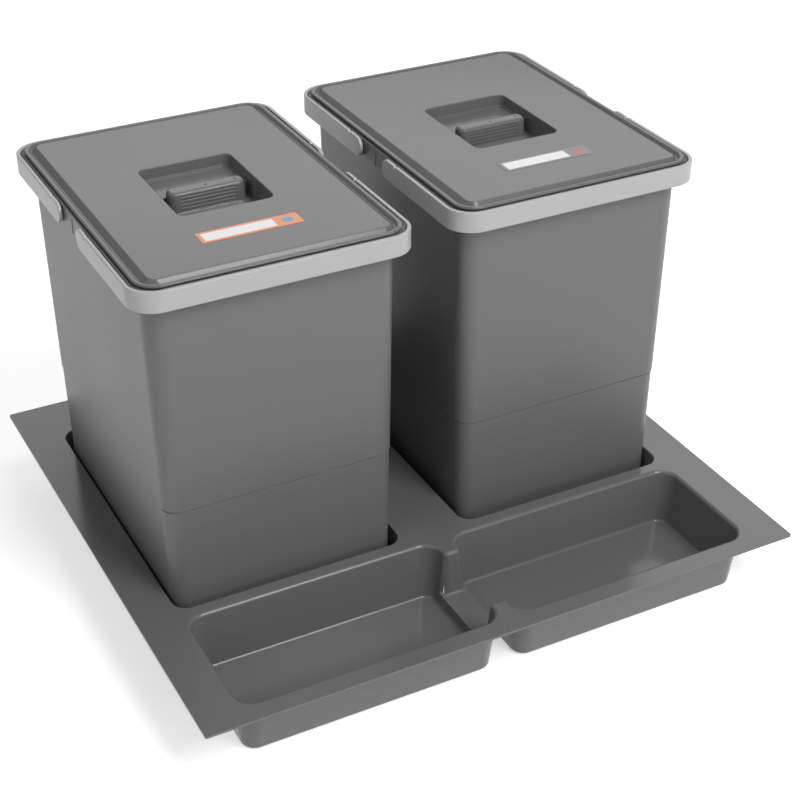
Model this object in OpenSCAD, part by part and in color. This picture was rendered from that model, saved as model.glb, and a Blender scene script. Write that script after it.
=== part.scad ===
// Waste sorting insert for a wide kitchen drawer.
// One formed tray carries two lidded buckets in pockets and two joined open compartments in front.
// Lengths are in millimetres. X is the width, +Y points to the back of the drawer, and +Z is up.
// The origin lies under the middle of the tray, on the plane that the tray stands on.

/* [Tray] */
// Width of the flange beside the pockets, which is trimmed to suit the drawer
flange_side = 33.1; // [20:0.1:80]
// Width of the flange behind the pockets
flange_back = 50.9; // [20:0.1:100]
// Width of the land between the front compartments and the pockets
land = 12.5; // [11:0.5:40]
// Radius of the flange's four outer corners
tray_corner = 2; // [1:0.5:8]
// Thickness of the formed sheet
sheet = 2; // [1.5:0.1:3]
// Depth of the pockets and compartments below the flange
pocket_depth = 48; // [42:1:60]
// Play between each side of a bucket and its pocket, at the flange
side_play = 3.42; // [3:0.01:6]
// Play between each end of a bucket and its pocket, at the flange
end_play = 12.8; // [5:0.1:20]
// Radius of a pocket's corners at the flange
pocket_corner = 12.5; // [10:0.5:14]
// Lean of the pocket walls, in degrees
pocket_draft = 1.5; // [0.5:0.1:2]
// Radius where a pocket wall bends into the flange
pocket_bend = 1.2; // [0.8:0.1:2]

/* [Front compartments] */
// Gap between the two compartments at the flange
compartment_gap = 14; // [12:0.5:40]
// Width of a compartment at the flange, front to back
compartment_width = 109; // [84:1:160]
// From the tray's front edge to the compartments
compartment_from_front = 17; // [8:0.5:40]
// From the tray's side edge to the nearer compartment
compartment_from_side = 34; // [12:0.5:80]
// Radius of a compartment's corners at the flange
compartment_corner = 15; // [12:0.5:18]
// Lean of the compartment walls, in degrees
compartment_draft = 6.5; // [4:0.5:8]
// Radius where a compartment wall bends into the flange
compartment_bend = 3; // [2:0.1:3.5]
// Radius inside, between the walls and the floor
floor_fillet = 3; // [2:0.1:4]
// Width of the neck that joins the two compartments
neck_width = 70; // [50:1:76]
// Depth of the neck's floor below the flange
neck_depth = 38; // [30:0.5:41]
// Radius of the upright edges where the neck opens into a compartment
neck_round = 4; // [3.5:0.5:5]

/* [Bucket] */
// Width of the bucket's wall just under its rim
bucket_width = 197; // [150:1:240]
// Length of the bucket's wall just under its rim
bucket_length = 266; // [200:1:340]
// Height from the foot to the top of the rim
bucket_height = 323; // [240:1:420]
// Corner radius of the wall just under the rim
bucket_corner = 17; // [16:0.5:22]
// Thickness of the bucket's wall
bucket_wall = 2; // [1.6:0.1:2.6]
// Thickness of the bucket's bottom
bucket_floor = 2.4; // [2:0.1:3]
// Lean of the bucket's walls, in degrees
bucket_draft = 0.92; // [0.8:0.02:1.1]
// Height of the fine step that runs round the wall
step_height = 131; // [100:1:180]
// How far the wall steps in below that line
step_in = 0.6; // [0.4:0.1:0.8]
// Radius round the bucket's foot
foot_fillet = 8; // [6:0.5:10]
// How far the rim's skirt stands out from the wall
rim_out = 7; // [6.8:0.1:7.4]
// Thickness of the rim
rim_thick = 2; // [1.6:0.1:2.4]
// Corner radius of the rim's skirt
rim_corner = 18; // [17:0.5:22]
// How far the rim's skirt ends above the lower edge of the handle's band
skirt_short = 0.8; // [0:0.1:2]
// Thickness of the rim's skirt
skirt_wall = 1.8; // [1.4:0.1:2.2]
// Width of the bead that stands up along the rim's outer edge
bead_width = 1.2; // [1:0.1:2]
// Height of that bead above the rim
bead_rise = 0.8; // [0.4:0.1:1.4]
// Length of the gusset under the skirt between the handle ends
gusset_length = 26; // [16:1:34]
// How far that gusset runs down the wall below the skirt
gusset_drop = 6; // [4:1:20]
// Width of the upright rib in the middle of the gusset
rib_width = 1.4; // [1:0.1:3]
// How far the rib stands out from the skirt
rib_out = 0.5; // [0.3:0.1:0.6]

/* [Handles] */
// Thickness of the handle's band
band_thick = 3.2; // [2.6:0.1:4]
// Height of the band
band_height = 17.4; // [16:0.1:19]
// How far the band stands above the bucket's rim
band_rise = 2.2; // [1.5:0.1:2.6]
// Running gap between the band and the skirt
band_gap = 0.8; // [0.7:0.05:1.1]
// Gap between the handles of the two buckets
bucket_gap = 34.6; // [10:0.1:60]
// Chamfer along the band's edges
band_chamfer = 0.7; // [0.4:0.1:1]
// Gap between the ends of the front and back handle
tip_gap = 38; // [38:1:50]
// From the end of a handle back to its pivot
pivot_from_tip = 9; // [8:0.5:11]
// Straight stretch left in the middle of the arm's round end
tip_flat = 0.8; // [0.6:0.1:6]
// From the pivot to the notch in the arm's top edge
notch_from_pivot = 12; // [9:0.5:16]
// Width of that notch
notch_width = 3.4; // [2:0.1:5]
// Depth of that notch
notch_depth = 1.8; // [1:0.1:2.5]
// Radius of the pivot peg
peg_radius = 3; // [2.6:0.1:3.2]
// Running clearance round the peg, on the radius
peg_gap = 0.08; // [0.05:0.01:0.1]
// How far the peg reaches past the skirt
peg_past = 1.5; // [1:0.1:2]

/* [Lid] */
// Rim that shows beside the lid, on each side
lid_side_inset = 4; // [2:0.5:6]
// Rim that shows beyond the lid, at each end
lid_end_inset = 2.5; // [2:0.5:6]
// Corner radius of the lid
lid_corner = 16; // [15:0.5:18]
// Width of the flat lip round the lid
lip_width = 4.5; // [3.5:0.1:5.5]
// Thickness of the lip
lip_thick = 2; // [1.6:0.1:2.4]
// Chamfer of the lip's upper and lower edge
lip_chamfer = 0.7; // [0.4:0.1:0.7]
// Width of the slope from the lip up to the raised top
bevel_width = 4.7; // [4:0.1:6]
// Height of that slope
bevel_rise = 2.2; // [1.6:0.1:3]
// Thickness of the lid's raised top
lid_sheet = 2; // [1.6:0.1:2.4]
// Gap between the lid's plug and the bucket's mouth
plug_gap = 0.7; // [0.5:0.1:1.2]
// How far the plug reaches into the bucket
plug_depth = 8; // [5:0.5:12]
// Thickness of the plug's wall
plug_wall = 1.8; // [1.4:0.1:2.4]
// Width of the grip recess
recess_width = 76; // [70:1:90]
// Length of the grip recess, front to back
recess_length = 92; // [84:1:100]
// Corner radius of the grip recess
recess_corner = 6.5; // [5:0.5:9]
// Depth of the scoop in front of the grip bar, below the raised top
scoop_depth = 18.5; // [17:0.5:20]
// Depth of the ledge on the recess's walls
ledge_depth = 8.6; // [7:0.2:10]
// Width of that ledge
ledge_width = 1.5; // [1:0.1:2]
// How far the shallow floor behind the grip bar lies below that ledge
shelf_drop = 1.6; // [1.2:0.1:3]
// Lean of the recess's walls, in degrees
recess_draft = 3; // [1:0.5:5]
// Radius at the recess's edges
recess_bend = 0.8; // [0.5:0.1:1.2]
// Gap between each end of the grip bar and the recess's edge
bar_end_gap = 7.5; // [4:0.5:12]
// Thickness of the grip bar, front to back
bar_thick = 13; // [11:0.5:14]
// Radius of the grip bar's upright edges
bar_round = 5; // [4:0.5:5.4]
// Lean of the grip bar's sides, in degrees
bar_draft = 4; // [1:0.5:6]
// Radius along the edges of the grip bar's top
bar_bend = 2.5; // [1.5:0.1:3]
// How far the bar's top lies below the lid's raised top
bar_below = 0.8; // [0.4:0.1:1.2]
// Wall thickness of the hollow bar
bar_wall = 2; // [1.4:0.1:2.4]
// Number of grip grooves in the bar's front
grooves = 5; // [3:1:5]
// Spacing of the grip grooves
groove_pitch = 2.8; // [2.4:0.1:3]
// Width of one grip groove
groove_width = 1.2; // [0.8:0.1:1.6]
// Depth of one grip groove
groove_depth = 0.7; // [0.4:0.1:1]
// From the bar's top to the first grip groove
groove_below = 3.4; // [3:0.1:4]
// From the bar's end to the grip grooves
groove_from_end = 8; // [6:0.5:14]
// Radius of the three small dimples on the bar's top
dimple_radius = 1; // [0.6:0.1:1.5]
// Depth of those dimples
dimple_depth = 0.4; // [0.2:0.1:0.8]
// From the bar's end to the outer dimples
dimple_from_end = 6.5; // [4:0.5:12]

/* [Labels] */
// Length of the sticker on each lid
label_length = 79; // [60:1:90]
// Width of the sticker, front to back
label_width = 17; // [12:0.5:24]
// Thickness of the sticker
label_thick = 0.25; // [0.2:0.05:0.4]
// Corner radius of the sticker
label_corner = 1.5; // [1:0.1:3]
// From the lid's front edge back to the sticker's middle
label_from_edge = 51; // [24:0.5:70]

/* [Seating] */
// How far the left bucket stands forward, and the right one back, in their pockets
seat_stagger = 3.5; // [0:0.1:4]
// How far the left bucket stands outward from the middle of its pocket
left_spread = 1; // [0:0.1:2.6]
// How far the right bucket stands outward from the middle of its pocket
right_spread = 2.6; // [0:0.1:2.6]

/* [Hidden] */
$fn = 64;

// A cut passes this far beyond the face it opens.
reach = 4 * sheet;

// Worked-out lengths are rounded to this, so that pieces that meet share their edges exactly.
grain = 0.1;
function snap(length) = round(length / grain) * grain;

// The bucket and its rim, and the handle's band round it.
rim_width = bucket_width + 2 * rim_out;
rim_length = bucket_length + 2 * rim_out;
mouth_width = bucket_width - 2 * bucket_wall;
mouth_length = bucket_length - 2 * bucket_wall;
upper_in = (bucket_height - step_height) * tan(bucket_draft);
flange_in = upper_in + step_in + (step_height - pocket_depth) * tan(bucket_draft);
skirt_drop = band_height - band_rise - skirt_short;
band_width = rim_width + 2 * (band_gap + band_thick);
band_length = rim_length + 2 * (band_gap + band_thick);
band_corner = rim_corner + band_gap + band_thick;
band_bottom = bucket_height + band_rise - band_height;
tip_round = (band_height - tip_flat) / 2;
pivot_y = tip_gap / 2 + pivot_from_tip;
pivot_z = bucket_height + band_rise - band_height / 2;

// The tray is laid out round the buckets.
bucket_foot = sheet;
pocket_from_middle = (band_width + bucket_gap - left_spread - right_spread) / 2;
left_x = -pocket_from_middle - left_spread;
right_x = pocket_from_middle + right_spread;
pocket_width = snap(bucket_width - 2 * flange_in + 2 * side_play);
pocket_length = snap(bucket_length - 2 * flange_in + 2 * end_play);
pocket_from_front = compartment_from_front + compartment_width + land;
flange_top = pocket_depth + sheet;
tray_width = 2 * (pocket_from_middle + pocket_width / 2 + flange_side);
tray_depth = pocket_from_front + pocket_length + flange_back;
pocket_y = pocket_from_front + pocket_length / 2 - tray_depth / 2;
left_y = pocket_y - seat_stagger;
right_y = pocket_y + seat_stagger;
neck_half_gap = compartment_gap / 2;
compartment_length = tray_width / 2 - compartment_from_side - neck_half_gap;
compartment_x = neck_half_gap + compartment_length / 2;
compartment_y = compartment_from_front + compartment_width / 2 - tray_depth / 2;
neck_lean = (pocket_depth + sheet) * tan(compartment_draft);
// Every arc crosses the flats that it rounds at this small angle, so that no two surfaces only
// touch. The posts of the neck take the second angle.
crease = 4;
post_overlap = 15;

// The lid, its plug, and what lies on its middle line.
lid_width = rim_width - 2 * lid_side_inset;
lid_length = rim_length - 2 * lid_end_inset;
bar_length = recess_width - 2 * bar_end_gap;
groove_length = bar_length - 2 * groove_from_end;
dimple_pitch = bar_length / 2 - dimple_from_end;
lid_top = lip_thick + bevel_rise;
plug_width = mouth_width - 2 * plug_gap;
plug_length = mouth_length - 2 * plug_gap;
plug_corner = bucket_corner - bucket_wall - plug_gap;

// The piece to draw, or "all"

// Solid block with rounded upright edges. The child section is drawn from a corner's centre
// outward, and is turned round the corners and run along the sides, so every face stays true.
module rounded_block(width, length, corner, low, high) {
  x = width / 2 - corner;
  y = length / 2 - corner;
  for (turn = [0, 180]) rotate([0, 0, turn]) {
    translate([x, y, 0]) rotate_extrude(angle = 90) children();
    translate([-x, y, 0]) rotate([0, 0, 90]) rotate_extrude(angle = 90) children();
    translate([x, y, 0]) rotate([90, 0, 0]) linear_extrude(2 * y) children();
    translate([-x, y, 0]) rotate([90, 0, 90]) linear_extrude(2 * x) children();
  }
  translate([-x, -y, low]) cube([2 * x, 2 * y, high - low]);
}

// Upright slab with rounded corners, from its base up.
module slab(width, length, corner, height) {
  rounded_block(width, length, corner, 0, height) square([corner, height]);
}

// What an arc leaves over at a corner, to be cut off. `away` and `next` point from the arc's
// centre to the two flats that form the corner.
module corner_cut(centre, radius, away, next) {
  difference() {
    polygon([centre, centre + 2 * radius * away, centre + 2 * radius * (away + next),
      centre + 2 * radius * next]);
    translate(centre) circle(radius);
  }
}

// Half section of a leaning wall and its rounded foot. The wall passes through radius `edge` at
// height 0, and the section starts `drop` below that and ends at the floor, `deep` below it.
module wall_section(edge, deep, lean, fillet, drop = 0) {
  set_in = fillet * cos(crease);
  centre_y = set_in - deep;
  centre = [edge + centre_y * tan(lean) - set_in / cos(lean), centre_y];
  difference() {
    polygon([[0, -drop], [edge - drop * tan(lean), -drop], [edge - deep * tan(lean), -deep], [0, -deep]]);
    corner_cut(centre, fillet, [cos(lean), -sin(lean)], [0, -1]);
  }
}

// The same section with the bend at its upper edge, open above.
module hollow_section(edge, deep, lean, fillet, bend) {
  set_in = fillet * cos(crease);
  centre_y = set_in - deep;
  centre = [edge + centre_y * tan(lean) - set_in / cos(lean), centre_y];
  bend_in = bend * cos(crease);
  outward = [cos(lean), -sin(lean)];
  bend_at = [edge + bend_in * (1 - sin(lean)) / cos(lean), -bend_in];
  difference() {
    polygon([[0, -deep], [edge - deep * tan(lean), -deep], bend_at - bend_in * outward, bend_at,
      [bend_at[0], reach], [0, reach]]);
    translate(bend_at) circle(bend);
    corner_cut(centre, fillet, outward, [0, -1]);
  }
}

// The hollow of one pocket or compartment, and the sheet's outer skin round it.
module hollow(width, length, corner, lean, bend) {
  rounded_block(width, length, corner, -pocket_depth, reach)
    hollow_section(corner, pocket_depth, lean, floor_fillet, bend);
}

module skin(width, length, corner, lean) {
  rounded_block(width + 2 * sheet, length + 2 * sheet, corner + sheet, -pocket_depth - sheet, 0)
    wall_section(corner + sheet, pocket_depth + sheet, lean, floor_fillet + sheet);
}

// The neck between the compartments: its hollow, and the outer skin under it.
module neck_hollow() {
  half = neck_half_gap + neck_lean;
  translate([-half, compartment_y, 0]) rotate([90, 0, 90]) linear_extrude(2 * half)
    for (side = [0, 1]) mirror([side, 0])
      hollow_section(neck_width / 2, neck_depth, compartment_draft, floor_fillet, compartment_bend);
}

module neck_skin() {
  half = neck_half_gap + neck_lean;
  translate([-half, compartment_y, 0]) rotate([90, 0, 90]) linear_extrude(2 * half)
    for (side = [0, 1]) mirror([side, 0])
      wall_section(neck_width / 2 + sheet, neck_depth + sheet, compartment_draft, floor_fillet + sheet);
}

// What is cut from the four upright edges of the land between the compartments, so that each
// keeps a leaning round post with the same bend at its top and the same fillet at its foot.
module neck_corners() {
  centre_in = neck_round * cos(post_overlap);
  for (turn = [0, 1], side = [0, 1]) mirror([turn, 0, 0]) translate([0, compartment_y, 0])
    mirror([0, side, 0]) translate([neck_half_gap - centre_in, neck_width / 2 + centre_in, 0])
      difference() {
        translate([0, -centre_in - neck_lean, -neck_depth])
          cube([centre_in + neck_lean, centre_in + neck_lean, neck_depth + reach]);
        rotate_extrude()
          post_section(neck_round, neck_depth, compartment_draft, floor_fillet, compartment_bend);
      }
}

// Half section of a leaning round post, with its fillet at the floor and its bend at height 0.
module post_section(edge, deep, lean, fillet, bend) {
  foot_in = fillet * cos(crease);
  bend_in = bend * cos(crease);
  outward = [cos(lean), sin(lean)];
  foot_at = [edge + (deep - foot_in) * tan(lean) + foot_in / cos(lean), foot_in - deep];
  bend_at = [edge - bend_in * (1 - sin(lean)) / cos(lean), -bend_in];
  difference() {
    polygon([[0, -deep], [foot_at[0], -deep], foot_at, foot_at - foot_in * outward,
      [edge - bend * tan(lean), bend], [0, bend]]);
    translate(foot_at) circle(fillet);
    corner_cut(bend_at, bend, outward, [0, 1]);
  }
}

module tray_body() {
  difference() {
    union() {
      translate([0, 0, -sheet]) slab(tray_width, tray_depth, tray_corner, sheet);
      for (side = [-1, 1]) {
        translate([side * pocket_from_middle, pocket_y, 0])
          skin(pocket_width, pocket_length, pocket_corner, pocket_draft);
        translate([side * compartment_x, compartment_y, 0])
          skin(compartment_length, compartment_width, compartment_corner, compartment_draft);
      }
      neck_skin();
    }
    for (side = [-1, 1]) {
      translate([side * pocket_from_middle, pocket_y, 0])
        hollow(pocket_width, pocket_length, pocket_corner, pocket_draft, pocket_bend);
      translate([side * compartment_x, compartment_y, 0])
        hollow(compartment_length, compartment_width, compartment_corner, compartment_draft,
          compartment_bend);
    }
    neck_hollow();
    neck_corners();
  }
}

module tray() {
  color("#606266") translate([0, 0, flange_top]) tray_body();
}

// Solid inside the bucket's wall line, moved in by `inset`, with its bottom raised by `raise`.
module bucket_form(inset, raise, above) {
  corner = bucket_corner - inset;
  low_corner = corner - upper_in - step_in;
  rounded_block(bucket_width - 2 * inset, bucket_length - 2 * inset, corner, raise,
    bucket_height + above) {
    union() {
      polygon([[0, step_height], [corner - upper_in, step_height], [corner, bucket_height],
        [corner, bucket_height + above], [0, bucket_height + above]]);
      translate([0, step_height])
        wall_section(low_corner, step_height - raise, bucket_draft, foot_fillet - raise);
    }
  }
}

// The fill between the skirt and the wall, and the rib on it, in the middle of each long side.
module gusset() {
  skirt_low = bucket_height - skirt_drop;
  foot = skirt_low - gusset_drop;
  in_wall = bucket_width / 2 - bucket_wall / 2;
  lean_in = (bucket_height - foot) * tan(bucket_draft);
  translate([0, gusset_length / 2, 0]) rotate([90, 0, 0]) linear_extrude(gusset_length)
    polygon([[in_wall, bucket_height - rim_thick], [rim_width / 2, bucket_height - rim_thick],
      [rim_width / 2, skirt_low], [bucket_width / 2 - lean_in, foot],
      [in_wall - lean_in, foot], [in_wall - lean_in, skirt_low]]);
  translate([rim_width / 2 - rib_out, -rib_width / 2, skirt_low])
    cube([2 * rib_out, rib_width, skirt_drop - rim_thick]);
}

module bucket() {
  skirt_low = bucket_height - skirt_drop;
  difference() {
    union() {
      bucket_form(0, 0, 0);
      difference() {
        translate([0, 0, skirt_low]) slab(rim_width, rim_length, rim_corner, skirt_drop + bead_rise);
        translate([0, 0, skirt_low - reach])
          slab(rim_width - 2 * skirt_wall, rim_length - 2 * skirt_wall, rim_corner - skirt_wall,
            reach + skirt_drop - rim_thick);
        translate([0, 0, bucket_height])
          slab(rim_width - 2 * bead_width, rim_length - 2 * bead_width, rim_corner - bead_width, reach);
      }
      for (turn = [0, 180]) rotate([0, 0, turn]) gusset();
    }
    bucket_form(bucket_wall, bucket_floor, reach);
    for (turn = [0, 180]) rotate([0, 0, turn]) for (side = [-1, 1])
      translate([rim_width / 2 - skirt_wall - peg_past / 2, side * pivot_y, pivot_z])
        rotate([0, 90, 0]) cylinder(r = peg_radius + peg_gap, h = skirt_wall + reach);
  }
}

module bucket_left() {
  color("#6e7073") translate([left_x, left_y, bucket_foot]) bucket();
}

module bucket_right() {
  color("#6e7073") translate([right_x, right_y, bucket_foot]) bucket();
}

// Section of the handle's band, from its inner face outward.
module band_section() {
  c = band_chamfer;
  polygon([[c, 0], [band_thick - c, 0], [band_thick, c], [band_thick, band_height - c],
    [band_thick - c, band_height], [c, band_height], [0, band_height - c], [0, c]]);
}

// Outline of an arm's round end, seen from the side, from where the rounding starts to the tip.
module tip_outline() {
  for (y = [tip_round, band_height - tip_round])
    intersection() {
      translate([0, y]) circle(tip_round);
      translate([0, y < band_height / 2 ? 0 : y]) square([tip_round, tip_round]);
    }
  translate([0, tip_round]) square([tip_round, band_height - 2 * tip_round]);
}

// The arm's round end, from y = 0 forward to the tip.
module tip() {
  c = band_chamfer;
  intersection() {
    translate([band_thick, 0, 0]) rotate([90, 0, -90]) linear_extrude(band_thick) tip_outline();
    rotate([90, 0, 0]) linear_extrude(tip_round) band_section();
    linear_extrude(band_height)
      polygon([[0, 0], [0, c - tip_round], [c, -tip_round], [band_thick - c, -tip_round],
        [band_thick, c - tip_round], [band_thick, 0]]);
  }
}

// One arm of the handle, with its round end, its notch and its pivot peg.
module arm() {
  x = band_width / 2 - band_thick;
  y = band_length / 2 - band_corner;
  start = tip_gap / 2 + tip_round;
  peg_length = band_gap + skirt_wall + peg_past;
  difference() {
    union() {
      translate([x, y, 0]) rotate([90, 0, 0]) linear_extrude(y - start) band_section();
      translate([x, start, 0]) tip();
      translate([x - peg_length, pivot_y, band_height / 2]) rotate([0, 90, 0])
        cylinder(r = peg_radius, h = peg_length + band_thick / 2);
    }
    translate([x + 3 / 2 * band_thick, pivot_y + notch_from_pivot, band_height])
      rotate([90, 0, -90]) linear_extrude(2 * band_thick)
        polygon([[-notch_width / 2, 0], [0, -notch_depth], [notch_width / 2, 0],
          [notch_width / 2, notch_depth], [-notch_width / 2, notch_depth]]);
  }
}

// The handle behind the pivots, folded down round the rim. The front one is the same, turned.
module handle() {
  x = band_width / 2 - band_corner;
  y = band_length / 2 - band_corner;
  inner = band_corner - band_thick;
  translate([0, 0, band_bottom]) {
    translate([-x, y + inner, 0]) rotate([90, 0, 90]) linear_extrude(2 * x) band_section();
    translate([x, y, 0]) rotate_extrude(angle = 90) translate([inner, 0]) band_section();
    translate([-x, y, 0]) rotate([0, 0, 90]) rotate_extrude(angle = 90)
      translate([inner, 0]) band_section();
    arm();
    mirror([1, 0, 0]) arm();
  }
}

module handle_left_front() {
  color("#babbbd") translate([left_x, left_y, bucket_foot]) rotate([0, 0, 180]) handle();
}

module handle_left_back() {
  color("#babbbd") translate([left_x, left_y, bucket_foot]) handle();
}

module handle_right_front() {
  color("#babbbd") translate([right_x, right_y, bucket_foot]) rotate([0, 0, 180]) handle();
}

module handle_right_back() {
  color("#babbbd") translate([right_x, right_y, bucket_foot]) handle();
}

// Hollow of the grip recess below the lid's top, or with `grow` the cup's outer skin. Below a
// ledge all round, its back half ends on a shallow shelf and its front half is a deep scoop.
module recess(grow, above) {
  step = snap(ledge_depth * tan(recess_draft) + ledge_width);
  corner = recess_corner + grow;
  low_corner = recess_corner - step + grow;
  half_length = recess_length / 2 - step + bar_thick / 2;
  rounded_block(recess_width + 2 * grow, recess_length + 2 * grow, corner, -ledge_depth - grow, above)
    if (grow > 0) wall_section(corner, ledge_depth + grow, recess_draft, recess_bend + grow);
    else hollow_section(corner, ledge_depth, recess_draft, recess_bend, recess_bend);
  for (side = [-1, 1]) {
    low_depth = (side < 0 ? scoop_depth - ledge_depth : shelf_drop) + grow;
    translate([0, side * (half_length - bar_thick) / 2, -ledge_depth])
      rounded_block(recess_width - 2 * step + 2 * grow, half_length + 2 * grow, low_corner,
        -low_depth, 0)
          wall_section(low_corner, low_depth, recess_draft, recess_bend + grow);
  }
}

// Half section of the grip bar, which leans outward below and is rounded along its top.
module bar_section(edge, deep) {
  bend_in = bar_bend * cos(crease);
  outward = [cos(bar_draft), sin(bar_draft)];
  bend_at = [edge - bend_in * (1 - sin(bar_draft)) / cos(bar_draft), -bend_in];
  difference() {
    polygon([[0, -deep], [edge + deep * tan(bar_draft), -deep], [edge, 0], [0, 0]]);
    corner_cut(bend_at, bar_bend, outward, [0, 1]);
  }
}

// The grip bar stands in the middle of the recess. Its front carries the grip grooves.
module bar() {
  deep = scoop_depth + lid_sheet - bar_below;
  translate([0, 0, -bar_below]) difference() {
    rounded_block(bar_length, bar_thick, bar_round, -deep, 0) bar_section(bar_round, deep);
    for (i = [0:grooves - 1]) {
      below = groove_below + i * groove_pitch;
      front = -bar_thick / 2 - below * tan(bar_draft);
      translate([-groove_length / 2, front - groove_depth, -below - groove_width / 2])
        cube([groove_length, 2 * groove_depth, groove_width]);
    }
    for (i = [-1:1]) translate([i * dimple_pitch, 0, -dimple_depth])
      cylinder(r = dimple_radius, h = 2 * dimple_depth);
  }
}

module bar_hollow() {
  low = -scoop_depth - lid_sheet - bar_wall;
  translate([0, 0, low])
    slab(bar_length - 2 * bar_wall, bar_thick - 2 * bar_wall, bar_round - bar_wall,
      -bar_below - bar_wall - low);
}

// The lid stands with its lip on height 0, the top of the bucket's rim.
module lid() {
  lip = lid_corner - lip_width;
  flat = lip - bevel_width;
  difference() {
    union() {
      difference() {
        union() {
          rounded_block(lid_width, lid_length, lid_corner, 0, lid_top)
            polygon([[0, 0], [lid_corner - lip_chamfer, 0], [lid_corner, lip_chamfer],
              [lid_corner, lip_thick - lip_chamfer],
              [lid_corner - lip_chamfer, lip_thick], [lip, lip_thick], [flat, lid_top], [0, lid_top]]);
          translate([0, 0, -plug_depth]) slab(plug_width, plug_length, plug_corner, plug_depth);
        }
        translate([0, 0, -plug_depth - reach])
          slab(plug_width - 2 * plug_wall, plug_length - 2 * plug_wall, plug_corner - plug_wall,
            plug_depth + reach + lid_top - lid_sheet);
      }
      translate([0, 0, lid_top]) recess(lid_sheet, 0);
    }
    translate([0, 0, lid_top]) difference() {
      recess(0, reach);
      bar();
    }
    translate([0, 0, lid_top]) bar_hollow();
  }
}

module lid_left() {
  color("#8b8c8e") translate([left_x, left_y, bucket_foot + bucket_height]) lid();
}

module lid_right() {
  color("#8b8c8e") translate([right_x, right_y, bucket_foot + bucket_height]) lid();
}

module label() {
  translate([0, label_from_edge - lid_length / 2, bucket_foot + bucket_height + lid_top])
    slab(label_length, label_width, label_corner, label_thick);
}

module label_left() {
  color("#e08c5c") translate([left_x, left_y, 0]) label();
}

module label_right() {
  color("#e8e8e8") translate([right_x, right_y, 0]) label();
}

tray();
bucket_left();
bucket_right();
handle_left_front();
handle_left_back();
handle_right_front();
handle_right_back();
lid_left();
lid_right();
label_left();
label_right();
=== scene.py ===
# %% [markdown]
# # Waste sorting insert for a kitchen drawer
# One formed tray carries two lidded buckets, with two joined open compartments in front of them.
# This notebook starts from a fixed CAD frame of the object. It remodels the moulded pieces with
# their softened edges, gives every piece its plastic, and lights them as in a plain product
# photograph.

# %% Load the frame
import math

import bmesh
import bpy
from mathutils import Matrix, Vector


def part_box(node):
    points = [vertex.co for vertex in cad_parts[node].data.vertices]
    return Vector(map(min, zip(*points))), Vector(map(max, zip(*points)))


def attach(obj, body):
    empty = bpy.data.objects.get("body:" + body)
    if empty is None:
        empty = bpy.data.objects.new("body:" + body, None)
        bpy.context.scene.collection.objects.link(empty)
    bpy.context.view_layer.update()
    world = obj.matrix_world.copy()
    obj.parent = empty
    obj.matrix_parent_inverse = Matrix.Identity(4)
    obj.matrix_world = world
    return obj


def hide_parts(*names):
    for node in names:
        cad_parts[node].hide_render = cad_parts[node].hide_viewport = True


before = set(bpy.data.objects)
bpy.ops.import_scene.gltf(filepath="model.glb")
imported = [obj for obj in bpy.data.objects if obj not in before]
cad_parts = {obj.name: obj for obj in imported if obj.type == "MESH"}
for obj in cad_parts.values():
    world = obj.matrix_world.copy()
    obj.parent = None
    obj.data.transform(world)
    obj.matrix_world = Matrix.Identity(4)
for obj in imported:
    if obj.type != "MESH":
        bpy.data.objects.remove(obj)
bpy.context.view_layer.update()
MM = 0.001

# %% [markdown]
# ## Camera
# The photograph was taken from the front left and from above, with a fairly long lens. A camera can
# be turned by eye until the picture looks right. This one's place, direction and lens length were
# worked out together from straight edges of the object, which leaves less to chance.

# %% Camera
SENSOR, LENS, FARTHEST = 36, 75.866, 20
CAMERA_AT = (-537.44, -1067.27, 861.97)
CAMERA_LOOKS = (0.3935, 0.7537, -0.5265)

camera_data = bpy.data.cameras.new("studio_camera")
camera_data.sensor_width = SENSOR
camera_data.lens = LENS
camera_data.clip_end = FARTHEST
camera = bpy.data.objects.new("studio_camera", camera_data)
camera.location = Vector(CAMERA_AT) * MM
camera.rotation_euler = Vector(CAMERA_LOOKS).to_track_quat("-Z", "Y").to_euler()
bpy.context.scene.collection.objects.link(camera)
bpy.context.scene.camera = camera
print("camera at", [round(v, 3) for v in camera.location])

# %% [markdown]
# ## Moulded plastic
# The whole object is moulded or formed in one family of greys. Such plastic is never one flat
# colour: a fine spark-eroded grain breaks its shine, and slow drifts of tone and gloss run through
# it. A picture of plastic would stretch and repeat. Noise on Object coordinates has no seams, and
# its sizes are real sizes in metres, so the same recipe serves every piece with its own colour,
# grain and shine.

# %% Tone
TONE_DETAIL = 3


def grey(level):
    """The linear colour of a screen grey, given as 0 to 255."""
    value = ((level / 255 + 0.055) / 1.055) ** 2.4
    return (value, value, value)


def toned(material, colour, drift, scale):
    """Gives a material its linear colour, lighter and darker by `drift` as a noise says.

    Returns the coordinates and the noise, for the rest of the finish.
    """
    nodes, links = material.node_tree.nodes, material.node_tree.links
    place = nodes.new("ShaderNodeTexCoord")
    noise = nodes.new("ShaderNodeTexNoise")
    noise.inputs["Scale"].default_value = scale
    noise.inputs["Detail"].default_value = TONE_DETAIL
    links.new(place.outputs["Object"], noise.inputs["Vector"])
    tone = nodes.new("ShaderNodeMapRange")
    tone.inputs["To Min"].default_value = 1 - drift
    tone.inputs["To Max"].default_value = 1 + drift
    links.new(noise.outputs["Fac"], tone.inputs["Value"])
    tint = nodes.new("ShaderNodeVectorMath")
    tint.operation = "SCALE"
    tint.inputs[0].default_value = colour
    links.new(tone.outputs["Result"], tint.inputs["Scale"])
    links.new(tint.outputs["Vector"], nodes["Principled BSDF"].inputs["Base Color"])
    return place.outputs["Object"], noise.outputs["Fac"]


print("the lids' grey is", round(grey(107)[0], 3), "as linear light")

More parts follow.
